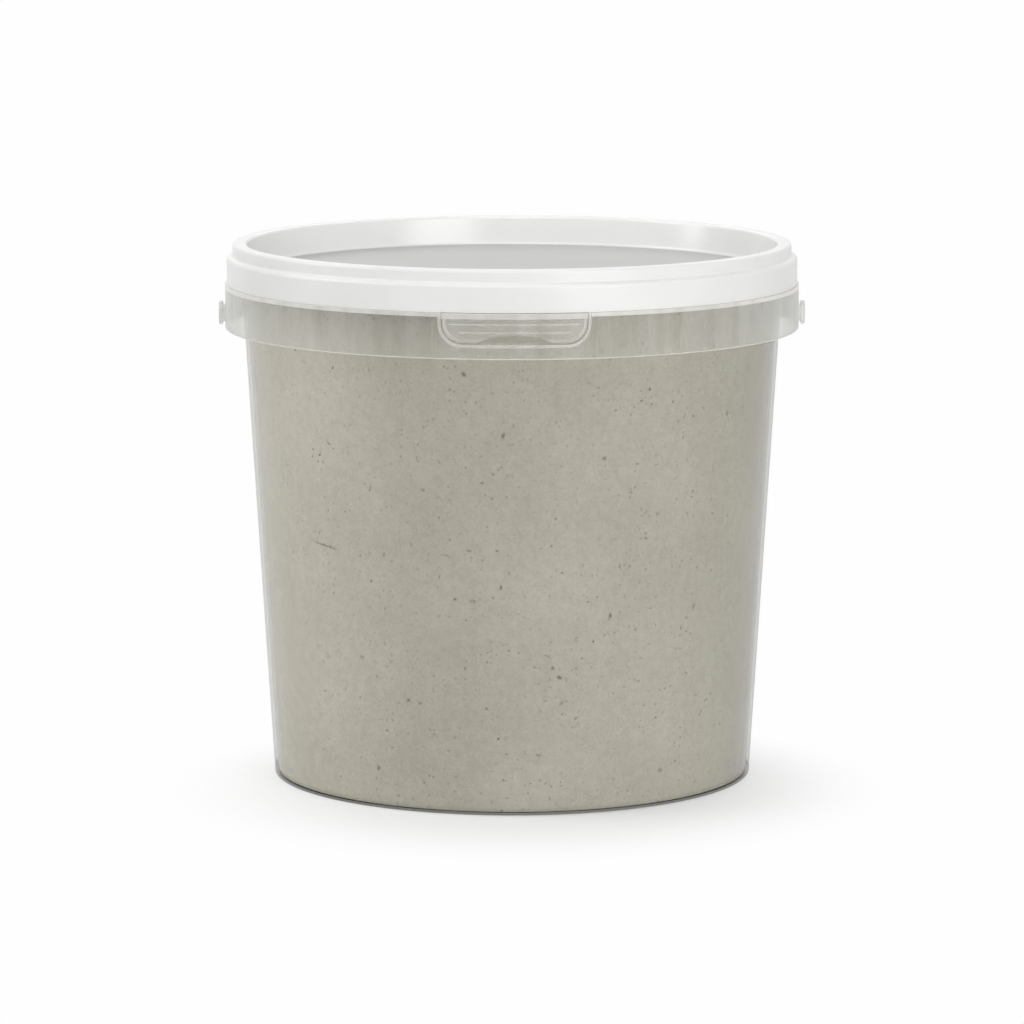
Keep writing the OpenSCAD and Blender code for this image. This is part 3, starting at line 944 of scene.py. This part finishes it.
lidSizes = {
    "bandR": 111.3,
    "thick": 1.3,
    "upR": 109.0,
    "shoulderZ": 203.6,
    "shoulderH": 0.6,
    "shoulderRound": 1.6,
    "recessR": 103.55,
    "recessTaper": 1.2,
    "recessDepth": 11.4,
    "hookProud": 0.5,
    "hookH": 2.6,
    "edge": 0.4,
    "hookRound": 0.2,
    "lowRound": 0.06,
    "gateR": 2.4,
    "gateDepth": 0.25,
    "gateSlope": 0.4,
    "gateRound": 0.3,
    "segments": 360,
}
lidLow, lidHigh = boxMm("lid")


def lidShape(s):
    # A section (r, z) carried round the axis: over the panel, the recess and the ring, and back underneath
    low, top, t = lidLow[2], lidHigh[2], s["thick"]
    inR, upInR = s["bandR"] - t, s["upR"] - t
    plugR = s["recessR"] + t
    panelZ = top - s["recessDepth"]
    underZ, neckZ = panelZ - t, top - t
    stepZ = s["shoulderZ"] + s["shoulderH"]
    outline = roundedOutline([
        (0, panelZ - s["gateDepth"], 0),
        (s["gateR"], panelZ - s["gateDepth"], s["gateRound"]),
        (s["gateR"] + s["gateSlope"], panelZ, s["gateRound"]),
        (s["recessR"] - s["recessTaper"], panelZ, t),
        (s["recessR"], top, t),
        (s["upR"], top, t),
        (s["upR"], stepZ, s["edge"]),
        (s["bandR"], s["shoulderZ"], s["shoulderRound"]),
        (s["bandR"], low, s["lowRound"]),
        (inR, low, s["edge"]),
        (inR - s["hookProud"], low + s["hookH"] / 3, s["hookRound"]),
        (inR - s["hookProud"], low + s["hookH"] * 2 / 3, s["hookRound"]),
        (inR, low + s["hookH"], s["hookRound"]),
        (inR, s["shoulderZ"] - 0.75 * t, s["shoulderRound"] / 2),
        (upInR, stepZ - 0.75 * t, s["edge"]),
        (upInR, neckZ, s["edge"]),
        (plugR, neckZ, s["edge"]),
        (plugR - s["recessTaper"], underZ, t),
        (0, underZ, 0),
    ], 8)
    return turned(refined(outline, 4.0, closed=False), s["segments"], closed=False)


lidMaterial = whitePolypropylene(whitePlastic)
putPiece("lidShell", lidShape(lidSizes), lidMaterial, ["lid"], "lid")


# Filler: fills the tub to its top, smoothed off with a swirl of the knife

fillerSizes = {
    "gap": 0.25,
    "round": 0.15,
    "edge": 0.5,
    "dishDepth": 5.5,
    "dishWide": 22.0,
    "swirlHigh": 0.55,
    "swirlMm": 17.0,
    "swirlArms": 2,
    "swirlEdge": 3.0,  # the marks are flat this far from the wall
    "swirlFade": 18.0,  # and grow over this width
    "swirlMiddle": 25.0,  # they fade out inside this radius
    "aboveBase": 0.05,  # drawn low in the base, so that no clear band shows under the paste
    "segments": 288,
}
fillHigh = boxMm("filler")[1]


def pasteR(z):
    # The paste lies a little inside the wall's inner face
    return wallOutR(z) - tubSizes["wallT"] - fillerSizes["gap"]


def fillerShape(s):
    # A section (r, z) carried round the axis: out along the base, up the wall and down into a shallow dish
    top, low = fillHigh[2], tubSizes["footH"] + s["aboveBase"]
    edgeR = pasteR(top)
    outline = roundedOutline([
        (0, low, 0),
        (pasteR(low), low, s["round"]),
        (edgeR, top, s["edge"]),
        (edgeR - s["dishWide"] / 2, top - s["dishDepth"] / 2, 0),
        (edgeR - s["dishWide"], top - s["dishDepth"], s["dishWide"] / 2),
        (0, top - s["dishDepth"], 0),
    ])
    verts, faces = turned(refined(outline, 3.0, closed=False), s["segments"], closed=False)
    # Knife marks on the top: waves that spiral in, flat at the wall and at the middle
    r = np.hypot(verts[:, 0], verts[:, 1])
    a = np.arctan2(verts[:, 0], -verts[:, 1])
    onTop = verts[:, 2] > top - s["dishDepth"] - 0.5
    reach = smooth((edgeR - s["swirlEdge"] - r) / s["swirlFade"]) * smooth(r / s["swirlMiddle"])
    wave = np.sin(s["swirlArms"] * a + 2 * np.pi * r / s["swirlMm"] + 0.8 * np.sin(3 * a + r / 40))
    verts[:, 2] += np.where(onTop, s["swirlHigh"] * wave * reach, 0)
    return verts, faces


pasteMaterial = fillerPaste(paste, pasteR)
putPiece("fillerFill", fillerShape(fillerSizes), pasteMaterial, ["filler"], "tub")


def seenRays(tree):
    # 1 for rays from the eye, from a mirror or through glass, and 0 for the rest
    ray = addNode(tree, "ShaderNodeLightPath").outputs
    seen = addNode(tree, "ShaderNodeMath", {0: ray["Is Camera Ray"], 1: ray["Is Glossy Ray"]},
                   operation="MAXIMUM")
    return addNode(tree, "ShaderNodeMath", {0: seen.outputs[0], 1: ray["Is Transmission Ray"]},
                   operation="MAXIMUM").outputs[0]


# Floor: white seamless paper. The camera and mirrors see it white; near the tub it is lit by the lamps,
# so the shadow shows there.

floorSizes = {
    "half": 4.0,
    "drop": 0.45,  # the gap, in mm, leaves a dark line under the foot
    "colour": "#e8e8e8",
    "white": 0.991,
    "shadowAt": (0.004, -0.035, 0),  # the shadow's middle lies a little in front
    "shadowR": 0.045,
    "whiteR": 0.145,
    "leastWhite": 0.2,
}


def addFloor(s):
    t = np.array([-1.0, 1.0]) * s["half"]
    x, y = np.meshgrid(t, t)
    verts = np.stack([x, y, np.full(x.shape, -s["drop"] * mm)], -1).reshape(-1, 3)
    mesh = bpy.data.meshes.new("paperFloor")
    mesh.from_pydata(verts.tolist(), [], [(0, 1, 3, 2)])
    material = bpy.data.materials.new("whitePaper")
    material.use_nodes = True
    tree = material.node_tree
    tree.nodes.clear()
    place = addNode(tree, "ShaderNodeTexCoord").outputs["Object"]
    away = addNode(tree, "ShaderNodeVectorMath", {0: place, 1: s["shadowAt"]}, operation="DISTANCE")
    far = addNode(tree, "ShaderNodeMapRange", {
        "Value": away.outputs["Value"], "From Min": s["shadowR"], "From Max": s["whiteR"],
        "To Min": s["leastWhite"]}, interpolation_type="SMOOTHSTEP")
    share = addNode(tree, "ShaderNodeMath", {0: seenRays(tree), 1: far.outputs[0]}, operation="MULTIPLY")
    lit = addNode(tree, "ShaderNodeBsdfDiffuse", {"Color": linear(s["colour"])})
    white = addNode(tree, "ShaderNodeEmission", {"Strength": s["white"]})
    both = addNode(tree, "ShaderNodeMixShader", {
        0: share.outputs[0], 1: lit.outputs["BSDF"], 2: white.outputs["Emission"]})
    addNode(tree, "ShaderNodeOutputMaterial", {"Surface": both.outputs["Shader"]})
    mesh.materials.append(material)
    floor = bpy.data.objects.new("paperFloor", mesh)
    scene.collection.objects.link(floor)


addFloor(floorSizes)


# Light: a pale room and four soft lamps: far round on the left, nearer the front on the right, overhead and
# behind. A small lamp on the left gives the glint in the lid's recess.

roomLight = {"level": 0.2, "white": 0.991, "aimHeight": 0.1}
lamps = {
    # degrees round from the tab, degrees up, distance and size in m, power in W
    "leftSoftbox": (-90, 35, 2.6, 1.4, 24.0),
    "glintLamp": (-90, 7, 2.6, 0.5, 6.0),
    "rightSoftbox": (33, 13, 2.6, 1.4, 34.0),
    "topSoftbox": (0, 66, 3.0, 2.0, 33.0),
    "backSoftbox": (180, 42, 3.2, 2.6, 25.0),
}


def addLight(room, lamps):
    world = bpy.data.worlds.new("paleRoom")
    scene.world = world
    world.use_nodes = True
    tree = world.node_tree
    tree.nodes.clear()
    dim = addNode(tree, "ShaderNodeBackground", {"Color": (1, 1, 1, 1), "Strength": room["level"]})
    white = addNode(tree, "ShaderNodeBackground", {"Color": (1, 1, 1, 1), "Strength": room["white"]})
    both = addNode(tree, "ShaderNodeMixShader", {0: seenRays(tree), 1: dim.outputs[0], 2: white.outputs[0]})
    addNode(tree, "ShaderNodeOutputWorld", {"Surface": both.outputs[0]})
    for name, (azimuth, elevation, distance, size, power) in lamps.items():
        data = bpy.data.lights.new(name, "AREA")
        data.size = size
        data.energy = power
        lamp = bpy.data.objects.new(name, data)
        a, e = np.radians(azimuth), np.radians(elevation)
        lamp.location = (distance * np.sin(a) * np.cos(e), -distance * np.cos(a) * np.cos(e),
                         room["aimHeight"] + distance * np.sin(e))
        lamp.rotation_euler = (np.pi / 2 - e, 0, a)
        lamp.visible_camera = False
        scene.collection.objects.link(lamp)
        print("lamp:", name, power, "W")


addLight(roomLight, lamps)
